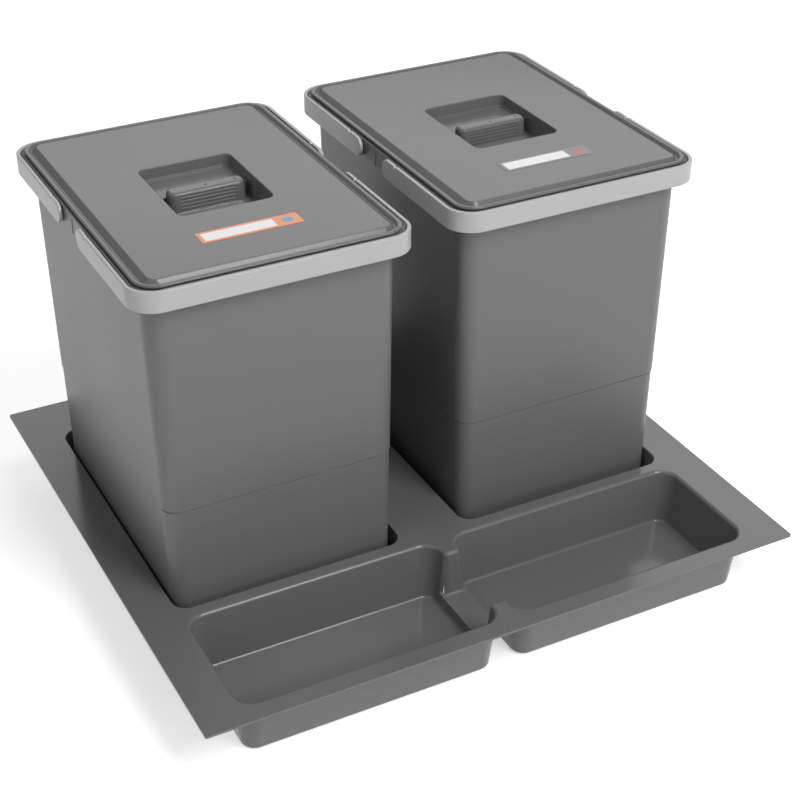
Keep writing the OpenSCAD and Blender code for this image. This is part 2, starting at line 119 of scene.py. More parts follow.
# %% Plastic
CLOUDS_PER_METRE, TONE_DRIFT, GLOSS_DRIFT = 9, 0.03, 0.05
GRAIN_DETAIL, GRAIN_STRENGTH = 2, 0.6


def moulded_plastic(name, colour, roughness, grain_size, grain_depth, mirror=0.5):
    """A grained plastic. The grain's sizes are in metres, and `mirror` is how much it reflects."""
    material = bpy.data.materials.new(name)
    material.use_nodes = True
    nodes, links = material.node_tree.nodes, material.node_tree.links
    shader = nodes["Principled BSDF"]
    shader.inputs["Specular IOR Level"].default_value = mirror
    place, cloud = toned(material, colour, TONE_DRIFT, CLOUDS_PER_METRE)

    gloss = nodes.new("ShaderNodeMapRange")
    gloss.inputs["To Min"].default_value = roughness - GLOSS_DRIFT
    gloss.inputs["To Max"].default_value = roughness + GLOSS_DRIFT
    links.new(cloud, gloss.inputs["Value"])
    links.new(gloss.outputs["Result"], shader.inputs["Roughness"])

    grain = nodes.new("ShaderNodeTexNoise")
    grain.inputs["Scale"].default_value = 1 / grain_size
    grain.inputs["Detail"].default_value = GRAIN_DETAIL
    links.new(place, grain.inputs["Vector"])
    bump = nodes.new("ShaderNodeBump")
    bump.inputs["Distance"].default_value = grain_depth
    bump.inputs["Strength"].default_value = GRAIN_STRENGTH
    links.new(grain.outputs["Fac"], bump.inputs["Height"])
    links.new(bump.outputs["Normal"], shader.inputs["Normal"])
    return material


tray_plastic = moulded_plastic("tray_plastic", grey(107), 0.18, 0.9 * MM, 0.006 * MM)
bucket_plastic = moulded_plastic("bucket_plastic", grey(106), 0.38, 0.8 * MM, 0.015 * MM)
lid_plastic = moulded_plastic("lid_plastic", grey(107), 0.22, 0.8 * MM, 0.01 * MM, mirror=0.38)
handle_plastic = moulded_plastic("handle_plastic", grey(178), 0.3, 0.8 * MM, 0.01 * MM)
plastics = (tray_plastic, bucket_plastic, lid_plastic, handle_plastic)
print("plastics:", [plastic.name for plastic in plastics])

# %% [markdown]
# ## Tray
# The tray is one thin sheet, drawn down over a form into two pockets and two compartments. Its
# bends, floor fillets and the posts of the neck are exact in the CAD frame, so the CAD mesh stays
# and only its plastic is new. It is the glossiest piece, because a formed sheet keeps its smooth
# surface.

# %% Dress the tray
tray_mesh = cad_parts["tray"].data
tray_mesh.materials.clear()
tray_mesh.materials.append(tray_plastic)
print("tray:", len(tray_mesh.polygons), "faces")

# %% [markdown]
# ## From millimetres to the frame
# The real parts were drawn in millimetres, so each piece is modelled in millimetres round its own
# bucket's upright axis, which keeps the numbers readable. One function then scales the mesh to
# metres, puts it over its bucket, and hangs it on the moving body that it belongs to. Doing this in
# the mesh, and not in the object's transform, keeps every object at the origin, as the frame wants
# it. A weighted-normal modifier keeps flat faces flat between their softened edges.

# %% Finish a piece
SHARP_ANGLE, FLATNESS = 40, 80


def axis_of(side):
    """The place of one bucket's upright axis, in metres."""
    low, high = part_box(f"bucket_{side}")
    return Vector(((low.x + high.x) / 2, (low.y + high.y) / 2, 0))


def finish_piece(bm, name, side, materials, body, node):
    """Turns a mesh in millimetres into a piece of the object that rides on a body."""
    bmesh.ops.recalc_face_normals(bm, faces=bm.faces)
    bmesh.ops.scale(bm, vec=(MM, MM, MM), verts=bm.verts)
    bmesh.ops.translate(bm, vec=axis_of(side), verts=bm.verts)
    loose = sum(1 for edge in bm.edges if len(edge.link_faces) != 2)
    mesh = bpy.data.meshes.new(name)
    bm.to_mesh(mesh)
    bm.free()
    for material in materials:
        mesh.materials.append(material)
    mesh.shade_smooth()
    mesh.set_sharp_from_angle(angle=math.radians(SHARP_ANGLE))
    piece = bpy.data.objects.new(name, mesh)
    bpy.context.scene.collection.objects.link(piece)
    even = piece.modifiers.new("flat_faces_stay_flat", "WEIGHTED_NORMAL")
    even.keep_sharp = True
    even.weight = FLATNESS
    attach(piece, body)
    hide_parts(node)
    print(f"{name}: {len(mesh.polygons)} faces, {loose} open edges")


for side in ("left", "right"):
    print(side, "bucket's axis in mm:", [round(v / MM, 1) for v in axis_of(side)])

# %% [markdown]
# ## Rings and walls
# A moulded bucket or lid is one wall that turns up, over and down again, and from above its outline
# is always a rectangle with round corners. It could be cut from a block, or drawn face by face.
# Here each level of the wall is one ring of edges, made from a grid square whose corners are
# bevelled round, and bridge_loops skins each ring to the next. The list of levels then reads like
# the section through the real wall: an outline, how far in from it, the height, and the softness
# that rounds the edge there. Edges and points are gathered in a steady order, and not in sets,
# whose order changes from run to run.

# %% Ring
CORNER_STEPS = 12


def once(items):
    """Every item once, in the order in which it first came."""
    return list(dict.fromkeys(items))


def ring(bm, width, length, corner, height, forward):
    """One closed ring of edges, a rectangle with round corners, at a height."""
    before = set(bm.faces)
    corners = bmesh.ops.create_grid(bm, x_segments=1, y_segments=1, size=0.5)["verts"]
    bmesh.ops.scale(bm, vec=(width, length, 1), verts=corners)
    bmesh.ops.translate(bm, vec=(0, -forward, height), verts=corners)
    bmesh.ops.bevel(bm, geom=corners, offset=corner, segments=CORNER_STEPS, profile=0.5,
                    affect="VERTICES", material=-1)
    sheet = (set(bm.faces) - before).pop()
    edges = list(sheet.edges)
    bmesh.ops.delete(bm, geom=[sheet], context="FACES_ONLY")
    return edges


def level(outline, inset, height, soft=0, flare=0):
    """A ring to come: an outline (width, length, corner) moved in, its height and its softness.

    `flare` moves its front and its ends out again, and leaves its back.
    """
    width, length, corner = outline
    return {"size": (width - 2 * inset + 2 * flare, length - 2 * inset + flare,
                     corner - inset + flare),
            "height": height, "soft": soft, "forward": flare / 2}


print("a ring has", 4 * (CORNER_STEPS + 1), "points")

# %% Wall
SOFT_STEPS, FINE_STEPS = 3, 2
APART = 100


def soften(bm, edges, radius, steps=SOFT_STEPS):
    """Rounds edges with a small arc."""
    bmesh.ops.bevel(bm, geom=edges, offset=radius, segments=steps, profile=0.5,
                    affect="EDGES", material=-1)


def wall(bm, levels):
    """Skins the levels, closes both ends, and softens the rings that ask for it.

    Rings at one height can be skinned with a twist, so all are skinned while they stand well apart,
    one above the other, and then drop to their true heights.
    """
    rings = [ring(bm, *one["size"], i * APART, one["forward"]) for i, one in enumerate(levels)]
    for lower, upper in zip(rings, rings[1:]):
        bmesh.ops.bridge_loops(bm, edges=lower + upper)
    for end in (rings[0], rings[-1]):
        bmesh.ops.contextual_create(bm, geom=end)
    for i, (edges, one) in enumerate(zip(rings, levels)):
        around = once(vert for edge in edges for vert in edge.verts)
        bmesh.ops.translate(bm, vec=(0, 0, one["height"] - i * APART), verts=around)
    bmesh.ops.recalc_face_normals(bm, faces=bm.faces)
    for edges, one in zip(rings, levels):
        if one["soft"]:
            soften(bm, [edge for edge in edges if edge.is_valid], one["soft"])


print("a softened edge has", SOFT_STEPS, "facets, and a fine one", FINE_STEPS)

# %% [markdown]
# Details such as grooves, dimples and prints start on a flat face of the wall. The face is found by
# the way it looks and by its place, cut into pieces across an axis, and the piece that is wanted is
# picked by its place again.

# %% Slicing
FACING = 0.95


def face_at(bm, direction, point):
    """The face that looks along a direction and whose middle lies nearest to a point."""
    return cell([face for face in bm.faces if face.normal.dot(Vector(direction)) > FACING], point)


def sliced(bm, faces, axis, places):
    """Cuts flat faces across an axis (0, 1 or 2) at some places, and returns all their pieces."""
    for place in places:
        point, normal = Vector(), Vector()
        point[axis], normal[axis] = place, 1
        around = once(item for face in faces for item in (face, *face.edges, *face.verts))
        cut = bmesh.ops.bisect_plane(bm, geom=around, plane_co=point, plane_no=normal)
        faces = [item for item in cut["geom"] if isinstance(item, bmesh.types.BMFace)]
    return faces


def cell(faces, point):
    """The face whose middle lies nearest to a point."""
    return min(faces, key=lambda face: (face.calc_center_median() - Vector(point)).length)


print("a face looks along a direction within", round(math.degrees(math.acos(FACING))), "degrees")

# %% [markdown]
# ## Bucket
# Each bucket is a tall, slightly tapered moulding. A little below half height its wall has a fine
# step with a groove below it, where the two parts of the mould met. At the top it turns out into a
# flat rim, down into a skirt that carries the handles, and up into a small bead along the rim's
# outer edge. Two solids, one subtracted from the other, would do, but one wall followed round in
# rings gives its true thickness at once.

# %% Bucket wall
BUCKET = (197, 266, 17)
RIM = (211, 280, 18)
FOOT, STEP, RIM_TOP = 2, 133, 325
WALL, BOTTOM, RIM_THICK = 2, 2.4, 2
LEAN = math.tan(math.radians(0.92))
UPPER_IN = (RIM_TOP - STEP) * LEAN
STEP_IN, SEAM_IN = 0.6, 1.2
SEAM_EDGE, SEAM_LOW, SEAM_HIGH = STEP - 1.4, STEP - 1.1, STEP - 0.2
FOOT_IN = UPPER_IN + STEP_IN + (STEP - FOOT) * LEAN
SKIRT_LOW, SKIRT_WALL = 310.6, 1.8
BEAD_TOP, BEAD_WIDTH = 325.8, 1.2
BUCKET_LEVELS = [
    level(BUCKET, FOOT_IN, FOOT, 7.5),
    level(BUCKET, UPPER_IN + STEP_IN, SEAM_EDGE, 0.2),
    level(BUCKET, UPPER_IN + SEAM_IN, SEAM_LOW),
    level(BUCKET, UPPER_IN + SEAM_IN, SEAM_HIGH),
    level(BUCKET, UPPER_IN, STEP, 0.15),
    level(BUCKET, 0, RIM_TOP - RIM_THICK, 0.8),
    level(RIM, SKIRT_WALL, RIM_TOP - RIM_THICK),
    level(RIM, SKIRT_WALL, SKIRT_LOW, 0.4),
    level(RIM, 0, SKIRT_LOW, 0.5),
    level(RIM, 0, BEAD_TOP, 0.5),
    level(RIM, BEAD_WIDTH, BEAD_TOP, 0.5),
    level(RIM, BEAD_WIDTH, RIM_TOP, 0.2),
    level(BUCKET, WALL, RIM_TOP, 0.8),
    level(BUCKET, WALL + UPPER_IN, STEP),
    level(BUCKET, WALL + FOOT_IN, FOOT + BOTTOM, 5),
]
print("the foot is", round(FOOT_IN, 2), "mm in from the mouth on each side")

# %% [markdown]
# Between the ends of the two handles the skirt is backed by a short gusset, which slopes back to
# the wall below it, with one thin upright rib in its middle. The gusset is a prism: a few points,
# one face and one extrusion. The rib is a cube drawn out long and softened.

# %% Gusset and rib
GUSSET_LENGTH, GUSSET_DROP, GUSSET_FOOT = 26, 6, 1
GUSSET_TOP, GUSSET_OUT = RIM_TOP - 1, RIM[0] / 2 - 0.3
RIB_WIDTH, RIB_OUT, RIB_SHORT, RIB_SOFT = 1.4, 0.5, 2, 0.3


def gusset(bm, turn):
    """A prism from inside the bucket's wall to just inside the skirt."""
    foot = SKIRT_LOW - GUSSET_DROP
    in_wall = BUCKET[0] / 2 - WALL / 2 - (RIM_TOP - foot) * LEAN
    section = [(in_wall, GUSSET_TOP), (GUSSET_OUT, GUSSET_TOP), (GUSSET_OUT, SKIRT_LOW),
               (in_wall + GUSSET_FOOT, foot), (in_wall, foot)]
    points = [bm.verts.new((x, -GUSSET_LENGTH / 2, z)) for x, z in section]
    grown = bmesh.ops.extrude_face_region(bm, geom=[bm.faces.new(points)])["geom"]
    far = [item for item in grown if isinstance(item, bmesh.types.BMVert)]
    bmesh.ops.translate(bm, vec=(0, GUSSET_LENGTH, 0), verts=far)
    bmesh.ops.rotate(bm, matrix=Matrix.Rotation(turn, 3, "Z"), verts=points + far)


def rib(bm, turn):
    """An upright rib on the skirt's outer face. It ends short of the rim."""
    verts = bmesh.ops.create_cube(bm, size=1)["verts"]
    height = RIM_TOP - SKIRT_LOW - RIB_SHORT
    middle = (RIM_TOP + SKIRT_LOW) / 2 - RIB_SHORT / 2
    bmesh.ops.scale(bm, vec=(2 * RIB_OUT, RIB_WIDTH, height), verts=verts)
    bmesh.ops.translate(bm, vec=(RIM[0] / 2, 0, middle), verts=verts)
    bmesh.ops.rotate(bm, matrix=Matrix.Rotation(turn, 3, "Z"), verts=verts)
    soften(bm, once(edge for vert in verts for edge in vert.link_edges), RIB_SOFT, FINE_STEPS)


print("the gusset reaches", GUSSET_DROP, "mm below the skirt")


# %% Buckets
def bucket(side):
    bm = bmesh.new()
    wall(bm, BUCKET_LEVELS)
    for turn in (0, math.pi):
        gusset(bm, turn)
        rib(bm, turn)
    finish_piece(bm, f"bucket_shell_{side}", side, [bucket_plastic], f"bucket_{side}",
                 f"bucket_{side}")


for side in ("left", "right"):
    bucket(side)

# %% [markdown]
# ## Grip bar
# A bar stands in the lid's recess for the fingers to close on. Its sides lean out below, its top
# edge is well rounded, and its foot flares out in front and at both ends. Five fine grooves run
# along its front, and three small dimples mark where the mould's pins pushed it out. It starts as a
# wall of four levels. Slices across its flat front then give the groove cells, which are inset and
# pushed in. A square cell of the top, with its corners bevelled away, is a round dimple.

# %% Grooves and dimples
BAR = (61, 13, 5)
LID_TOP, SCOOP_FLOOR, BAR_BELOW = 329.2, 310.7, 0.8
BAR_TOP = LID_TOP - BAR_BELOW
GROOVES, GROOVE_PITCH, FIRST_GROOVE = 5, 2.8, 3.4
GROOVE_LENGTH, GROOVE_WIDTH, GROOVE_DEPTH = 45, 1.0, 0.35
GROOVE_LEAN, GROOVE_SOFT = 0.25, 0.25
DIMPLE_PITCH, DIMPLE_RADIUS, DIMPLE_DEPTH = 24, 1.3, 0.5
DIMPLE_CORNER, DIMPLE_STEPS, DIMPLE_LEAN = DIMPLE_RADIUS * 0.95, 4, 0.2
SLIVER = 0.02


def grooves(bm):
    heights = [BAR_TOP - FIRST_GROOVE - i * GROOVE_PITCH for i in range(GROOVES)]
    places = [(0, -BAR[1] / 2, height) for height in heights]
    centre = places[GROOVES // 2]
    front = face_at(bm, (0, -1, 0), centre)
    middle = cell(sliced(bm, [front], 0, (-GROOVE_LENGTH / 2, GROOVE_LENGTH / 2)), centre)
    edges_at = [height + half for height in heights for half in (-GROOVE_WIDTH / 2, GROOVE_WIDTH / 2)]
    pieces = sliced(bm, [middle], 2, edges_at)
    cells = [cell(pieces, place) for place in places]
    lips = [edge for groove in cells for edge in groove.edges]
    bmesh.ops.inset_individual(bm, faces=cells, thickness=GROOVE_LEAN, depth=-GROOVE_DEPTH,
                               use_even_offset=True)
    soften(bm, lips, GROOVE_SOFT, FINE_STEPS)


def dimples(bm):
    """Each dimple's square keeps a sliver round it, so that its corners can go by themselves."""
    for place in (-DIMPLE_PITCH, 0, DIMPLE_PITCH):
        spot = (place, 0, BAR_TOP)
        top = face_at(bm, (0, 0, 1), spot)
        strips = sliced(bm, [top], 0, (place - DIMPLE_RADIUS, place + DIMPLE_RADIUS))
        square = cell(sliced(bm, [cell(strips, spot)], 1, (-DIMPLE_RADIUS, DIMPLE_RADIUS)), spot)
        bmesh.ops.inset_individual(bm, faces=[square], thickness=SLIVER)
        bmesh.ops.bevel(bm, geom=list(square.verts), offset=DIMPLE_CORNER, segments=DIMPLE_STEPS,
                        profile=0.5, affect="VERTICES", material=-1)
        disc = face_at(bm, (0, 0, 1), spot)
        bmesh.ops.inset_individual(bm, faces=[disc], thickness=DIMPLE_LEAN, depth=-DIMPLE_DEPTH)


print("the lowest groove is", round(BAR_TOP - FIRST_GROOVE - (GROOVES - 1) * GROOVE_PITCH, 1), "mm up")

# %% Grip bar
BAR_LEAN = math.tan(math.radians(4))
BAR_FLARE, BAR_SUNK, FLARE_LOW, FLARE_HIGH = 3.2, 1, 0.1, 1.6
BAR_FOOT_IN = -(BAR_TOP - SCOOP_FLOOR) * BAR_LEAN
FLARE_IN = -(BAR_TOP - (SCOOP_FLOOR + FLARE_HIGH)) * BAR_LEAN
BAR_LEVELS = [
    level(BAR, BAR_FOOT_IN, SCOOP_FLOOR - BAR_SUNK, flare=BAR_FLARE),
    level(BAR, BAR_FOOT_IN, SCOOP_FLOOR + FLARE_LOW, flare=BAR_FLARE),
    level(BAR, FLARE_IN, SCOOP_FLOOR + FLARE_HIGH, 0.8),
    level(BAR, 0, BAR_TOP, 2.3),
]


def grip_bar(bm):
    wall(bm, BAR_LEVELS)
    grooves(bm)
    dimples(bm)


print("the bar's foot is", round(-BAR_FOOT_IN, 2), "mm out from its top on each side")

# %% [markdown]
# ## Lid
# The lid is one thin moulding. A round lip like a tube rests on the bucket's rim. Inside the lip
# runs a channel with sloping walls, then comes the flat top, and below it a plug reaches into the
# bucket. In the middle the sheet dips into a cup, with a deep scoop in front of the grip bar and a
# shallow shelf behind it, which has a narrow ledge round it. One closed wall does it all: the
# levels start under the cup, run out below the sheet, down and up the plug, round the lip, through
# the channel and over the top, and end on the ledge.

# %% Lid wall
LID = (206.4, 278, 17.5)
RAISED = (185.4, 260.6, 6)
PLUG = (191.6, 260.6, 14.3)
RECESS = (76, 92, 6.5)
SHEET, LIP_SEAT, LIP_UNDER = 2, 2.4, 1.6
LIP_LOW, LIP_TOP, LIP_WIDTH = 326, 328.3, 3.3
CHANNEL, CHANNEL_WALL, CHANNEL_FLOOR = 325.9, 2.1, 0.6
PLUG_LOW, PLUG_WALL = 317, 1.8
LEDGE, SHELF = 320.6, 319.0
RECESS_LEAN = math.tan(math.radians(3))
LID_LEVELS = [
    level(RECESS, (LID_TOP - SHELF) * RECESS_LEAN - SHEET, SHELF - SHEET),
    level(RECESS, -SHEET, LID_TOP - SHEET, 0.6),
    level(PLUG, PLUG_WALL, LID_TOP - SHEET),
    level(PLUG, PLUG_WALL, PLUG_LOW, 0.5),
    level(PLUG, 0, PLUG_LOW, 0.7),
    level(PLUG, 0, RIM_TOP, 0.3),
    level(LID, LIP_SEAT, RIM_TOP, 0.3),
    level(LID, LIP_UNDER, LIP_LOW, 0.2),
    level(LID, 0, LIP_LOW, 0.9),
    level(LID, 0, LIP_TOP, 1.1),
    level(LID, LIP_WIDTH, LIP_TOP, 0.7),
    level(LID, LIP_WIDTH + CHANNEL_WALL, CHANNEL, 0.2),
    level(LID, LIP_WIDTH + CHANNEL_WALL + CHANNEL_FLOOR, CHANNEL, 0.2),
    level(RAISED, 0, LID_TOP, 0.6),
    level(RECESS, 0, LID_TOP, 0.9),
    level(RECESS, (LID_TOP - LEDGE) * RECESS_LEAN, LEDGE),
]
print("lid levels:", len(LID_LEVELS))

# %% [markdown]
# The wall ends in one flat floor. Its front, and the front of the cup's underside below it, are
# sliced off and sunk with a leaning inset, which makes the scoop. The back of the floor is inset
# and sunk a little, which leaves the ledge round the shelf.

# %% Recess
LEDGE_WIDTH, SHELF_LEAN = 1.4, 0.1
SCOOP_SOFT, SHELF_SOFT, LEDGE_SOFT, UNDER_SOFT = 1.0, 0.5, 0.4, 0.7
TO_SCOOP, TO_SHELF = 25, 19


def sink(bm, up, height, low, split):
    """Slices a flat cap at a line across it and sinks the part in front of it to a level.

    TO_SCOOP and TO_SHELF reach from the line to about the middle of each part.
    """
    cap = face_at(bm, (0, 0, up), (0, 0, height))
    front = cell(sliced(bm, [cap], 1, (split,)), (0, split - TO_SCOOP, height))
    drop = height - low
    bmesh.ops.inset_individual(bm, faces=[front], thickness=drop * RECESS_LEAN, depth=-up * drop,
                               use_even_offset=True)
    return front, face_at(bm, (0, 0, up), (0, split + TO_SHELF, height))


def recess(bm):
    """The scoop and the shelf in the top, and the matching steps of the cup's underside."""
    scoop, shelf = sink(bm, 1, LEDGE, SCOOP_FLOOR, BAR[1] / 2)
    bmesh.ops.inset_individual(bm, faces=[shelf], thickness=LEDGE_WIDTH, use_even_offset=True)
    step = list(shelf.edges)
    bmesh.ops.inset_individual(bm, faces=[shelf], thickness=SHELF_LEAN, depth=SHELF - LEDGE,
                               use_even_offset=True)
    for edges, radius in ((scoop.edges, SCOOP_SOFT), (shelf.edges, SHELF_SOFT), (step, LEDGE_SOFT)):
        soften(bm, list(edges), radius)
    under = sink(bm, -1, SHELF - SHEET, SCOOP_FLOOR - SHEET, BAR[1] / 2 + SHEET)
    for face in under:
        soften(bm, list(face.edges), UNDER_SOFT)


print("the scoop is", round(LID_TOP - SCOOP_FLOOR, 1), "mm deep and the shelf", round(LID_TOP - SHELF, 1))


# %% Lids
def lid(side):
    bm = bmesh.new()
    grip_bar(bm)
    wall(bm, LID_LEVELS)
    recess(bm)
    finish_piece(bm, f"lid_shell_{side}", side, [lid_plastic], f"lid_{side}", f"lid_{side}")


for side in ("left", "right"):
    lid(side)

# %% [markdown]
# ## Handles
# Each bucket has two carrying handles that lie round its rim and meet at the sides. A handle is one
# flat band, bent twice, with full round ends, a small notch in its upper edge, and a peg near each
# end that turns in the skirt. A real band could be bent from strip, and so is this one: its outline
# is drawn flat, with the length along the band on X, given its thickness, softened all round, cut
# across where it will bend, and rolled round the corners.

# %% Flat band
BAND = (219, 288, 22)
BAND_THICK, BAND_LOW, BAND_HIGH, BAND_SOFT = 3.2, 309.8, 326.4, 0.9
ARM_TIP, PIVOT, NOTCH = 19, 28, 40
TIP_ROUND, TIP_STEPS = 8.3, 10
NOTCH_WIDTH, NOTCH_DEPTH = 3.6, 2.4
MID_RADIUS = BAND[2] - BAND_THICK / 2
HALF_FRONT = BAND[0] / 2 - BAND[2]
ARC = MID_RADIUS * math.pi / 2
ARM = BAND[1] / 2 - BAND[2] - ARM_TIP
HALF_BAND = HALF_FRONT + ARC + ARM
HAIR, ACROSS = 0.01, 0.5


def flat_band(bm):
    """The band before it is bent, with its length on X, its thickness on Y and its height on Z."""
    notch_at = HALF_BAND - (NOTCH - ARM_TIP)
    outline = [(-HALF_BAND, BAND_LOW), (HALF_BAND, BAND_LOW), (HALF_BAND, BAND_HIGH)]
    for side in (1, -1):
        outline += [(side * notch_at + NOTCH_WIDTH / 2, BAND_HIGH),
                    (side * notch_at, BAND_HIGH - NOTCH_DEPTH),
                    (side * notch_at - NOTCH_WIDTH / 2, BAND_HIGH)]
    outline.append((-HALF_BAND, BAND_HIGH))
    points = [bm.verts.new((x, 0, z)) for x, z in outline]
    bm.faces.new(points)
    tips = [vert for vert in points if abs(abs(vert.co.x) - HALF_BAND) < HAIR]
    bmesh.ops.bevel(bm, geom=tips, offset=TIP_ROUND, segments=TIP_STEPS, profile=0.5,
                    affect="VERTICES", material=-1)
    grown = bmesh.ops.extrude_face_region(bm, geom=list(bm.faces))["geom"]
    far = [item for item in grown if isinstance(item, bmesh.types.BMVert)]
    bmesh.ops.translate(bm, vec=(0, BAND_THICK, 0), verts=far)
    sides = [face for face in bm.faces if abs(face.normal.y) < ACROSS]
    rims = once(edge for face in sides for edge in face.edges
                if any(abs(other.normal.y) > ACROSS for other in edge.link_faces))
    soften(bm, rims, BAND_SOFT)


print("the band is", round(2 * HALF_BAND, 1), "mm long before it is bent")

# %% [markdown]
# Rolling a point of the flat band is like unrolling it backwards: its length along the band says
# whether it is on the front, in a bend or on an arm, and how far round. Its depth in the thickness
# is measured from the inner face.

# %% Bend the band
BEND_STEPS = 14


def cut_for_bending(bm):
    """Cuts the flat band across at every step of its two bends."""
    for side in (-1, 1):
        for i in range(BEND_STEPS + 1):
            place = side * (HALF_FRONT + ARC * i / BEND_STEPS)
            bmesh.ops.bisect_plane(bm, geom=[*bm.verts, *bm.edges, *bm.faces],
                                   plane_co=(place, 0, 0), plane_no=(1, 0, 0))


def bend(point):
    """Where a point of the flat band goes. The band lies round the back, its arms point forward."""
    side = -1 if point.x < 0 else 1
    along = abs(point.x) - HALF_FRONT
    radius = BAND[2] - BAND_THICK + point.y
    corner_y = BAND[1] / 2 - BAND[2]
    if along <= 0:
        return Vector((point.x, corner_y + radius, point.z))
    if along >= ARC:
        return Vector((side * (HALF_FRONT + radius), corner_y - (along - ARC), point.z))
    angle = along / MID_RADIUS
    return Vector((side * (HALF_FRONT + radius * math.sin(angle)),
                   corner_y + radius * math.cos(angle), point.z))


arm_tip = bend(Vector((HALF_BAND, 0, BAND_LOW)))
print("the right arm's tip goes to", [round(v, 1) for v in arm_tip])

# %% Handles
PEG_RADIUS, PEG_PAST, PEG_STEPS, PEG_SOFT = 3, 4.1, 32, 0.4


def peg(bm, side):
    """A round peg on the arm's inner face, with a softened end.

    It is made at the origin, far below the band, so whatever lies low is the new peg.
    """
    length = PEG_PAST + BAND_THICK / 2
    made = bmesh.ops.create_cone(bm, cap_ends=True, segments=PEG_STEPS, radius1=PEG_RADIUS,
                                 radius2=PEG_RADIUS, depth=length)["verts"]
    circles = once(edge for vert in made for edge in vert.link_edges
                   if abs(edge.verts[0].co.z - edge.verts[1].co.z) < HAIR)
    soften(bm, circles, PEG_SOFT, FINE_STEPS)
    verts = [vert for vert in bm.verts if abs(vert.co.z) < length]
    bmesh.ops.rotate(bm, matrix=Matrix.Rotation(math.pi / 2, 3, "Y"), verts=verts)
    reach = BAND[0] / 2 - BAND_THICK - PEG_PAST + length / 2
    bmesh.ops.translate(bm, vec=(side * reach, PIVOT, (BAND_LOW + BAND_HIGH) / 2), verts=verts)


def handle(side, end):
    bm = bmesh.new()
    flat_band(bm)
    cut_for_bending(bm)
    for vert in bm.verts:
        vert.co = bend(vert.co)
    for arm in (-1, 1):
        peg(bm, arm)
    if end == "front":
        bmesh.ops.rotate(bm, matrix=Matrix.Rotation(math.pi, 3, "Z"), verts=bm.verts)
    name = f"handle_{side}_{end}"
    finish_piece(bm, f"band_{side}_{end}", side, [handle_plastic], name, name)


for side in ("left", "right"):
    for end in ("front", "back"):
        handle(side, end)

# %% [markdown]
# ## Stickers
# Each lid carries a thin printed sticker: a coloured or clear film with a white field, and a small
# round mark beside it. A picture could carry the print. Slices of the sticker's own top face are
# used here, because a print edge in the mesh stays sharp from any distance, and each ink is then a
# material.

# %% Printed film
FLECK_SIZE = 0.6 * MM


def printed_film(name, colour, roughness, fleck):
    """A smooth film or ink with fine flecks in it. The colour is linear."""
    material = bpy.data.materials.new(name)
    material.use_nodes = True
    shader = material.node_tree.nodes["Principled BSDF"]
    shader.inputs["Roughness"].default_value = roughness
    toned(material, colour, fleck, 1 / FLECK_SIZE)
    return material


orange_film = printed_film("orange_film", (0.84, 0.33, 0.17), 0.4, 0.06)
clear_film = printed_film("clear_film", grey(130), 0.3, 0.04)
white_field = printed_film("white_field", (0.9, 0.9, 0.9), 0.45, 0.03)
blue_mark = printed_film("blue_mark", (0.16, 0.4, 0.62), 0.4, 0.06)
red_mark = printed_film("red_mark", (0.6, 0.16, 0.16), 0.4, 0.06)
inks = (orange_film, clear_film, white_field, blue_mark, red_mark)
print("films and inks:", [ink.name for ink in inks])

# %% Stickers
STICKER = (79, 17, 1.5)
STICKER_FROM_EDGE, STICKER_TOP = 52.5, LID_TOP + 0.25
FIELD_ENDS, FIELD_SIDES = (-36.4, 19.3), (-6.1, 6.1)
MARK_AT, MARK_RADIUS = 29.5, 4.2
MARK_CORNER, MARK_STEPS = MARK_RADIUS * 0.98, 8
FILM, FIELD, MARK = 0, 1, 2


def sticker(side, film, mark):
    """The field and the mark are cells of the top. The mark's corners go back to the film."""
    bm = bmesh.new()
    wall(bm, [level(STICKER, 0, LID_TOP), level(STICKER, 0, STICKER_TOP)])
    top = face_at(bm, (0, 0, 1), (0, 0, STICKER_TOP))
    strips = sliced(bm, [top], 0, (*FIELD_ENDS, MARK_AT - MARK_RADIUS, MARK_AT + MARK_RADIUS))
    centre = (sum(FIELD_ENDS) / 2, 0, STICKER_TOP)
    field = cell(sliced(bm, [cell(strips, centre)], 1, FIELD_SIDES), centre)
    field.material_index = FIELD
    spot = (MARK_AT, 0, STICKER_TOP)
    square = cell(sliced(bm, [cell(strips, spot)], 1, (-MARK_RADIUS, MARK_RADIUS)), spot)
    bmesh.ops.inset_individual(bm, faces=[square], thickness=SLIVER)
    square.material_index = MARK
    bmesh.ops.bevel(bm, geom=list(square.verts), offset=MARK_CORNER, segments=MARK_STEPS,
                    profile=0.5, affect="VERTICES", material=FILM)
    bmesh.ops.translate(bm, vec=(0, STICKER_FROM_EDGE - LID[1] / 2, 0), verts=bm.verts)
    finish_piece(bm, f"sticker_{side}", side, [film, white_field, mark], f"lid_{side}",
                 f"label_{side}")


sticker("left", orange_film, blue_mark)
sticker("right", clear_film, red_mark)

# %% [markdown]
# ## Floor and light
# A pale floor takes the shadow. Large soft lamps stand for the studio's light boxes. Strong lamps
# on the floor would make it white too, but would flood the object. So the white of the background
# comes from the floor and the world as the camera and the reflections see them, and adds no light
# to the object.

# %% What the lens and the reflections see
def seen_directly(tree):
    """1 for camera, glossy and transmission rays, and 0 for the rays that light the object."""
    path = tree.nodes.new("ShaderNodeLightPath")
    seen = path.outputs["Is Camera Ray"]
    for ray in ("Is Glossy Ray", "Is Transmission Ray"):
        either = tree.nodes.new("ShaderNodeMath")
        either.operation = "MAXIMUM"
        tree.links.new(seen, either.inputs[0])
        tree.links.new(path.outputs[ray], either.inputs[1])
        seen = either.outputs["Value"]
    return seen


# %% Floor
FLOOR_HALF, FLOOR_PALE, FLOOR_ROUGH, FLOOR_GLOW = 6, 0.9, 0.9, 0.55


